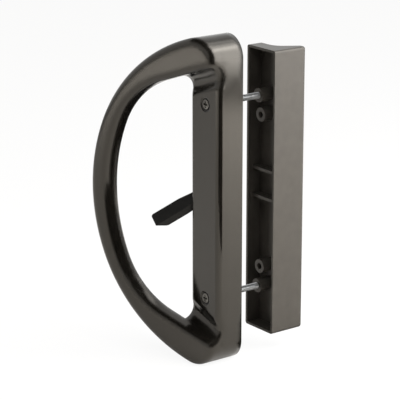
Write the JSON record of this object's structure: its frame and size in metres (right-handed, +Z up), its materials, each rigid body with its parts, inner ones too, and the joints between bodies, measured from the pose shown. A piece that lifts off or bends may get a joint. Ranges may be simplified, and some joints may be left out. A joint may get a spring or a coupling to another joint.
{
  "type": "sliding patio door handle",
  "caption": "Sliding patio door handle set: a D-shaped inside pull with a thumb latch lever, joined through the door by long screws to a narrow angle-section outside finger pull.",
  "frame": {"origin": "midway between the two mounting screws, on the inside pull's door side, so Y = 0 is the door's inner face", "axes": "+Z up, -Y into the room, +Y through the door to the outside, -X the way the pull's bow reaches"},
  "size_m": [0.0906, 0.1027, 0.21],
  "materials": {
    "dark_paint": "semi-gloss",
    "lever_black": "satin",
    "zinc_plate": "zinc plated"
  },
  "bodies": {
    "handle": {"inside_pull": "dark_paint", "exterior_pull": "dark_paint", "mounting_screws": "zinc_plate", "friction_washer": "zinc_plate", "retaining_ring": "zinc_plate"},
    "lever": {"latch_lever": "lever_black", "tailpiece": "zinc_plate"}
  },
  "joints": [
    {"name": "lever_turn", "type": "hinge", "parent": "handle", "child": "lever", "pos_m": [0, -0.0105, 0.015], "axis": [0, 1, 0], "range_deg": [0, 70]}
  ]
}
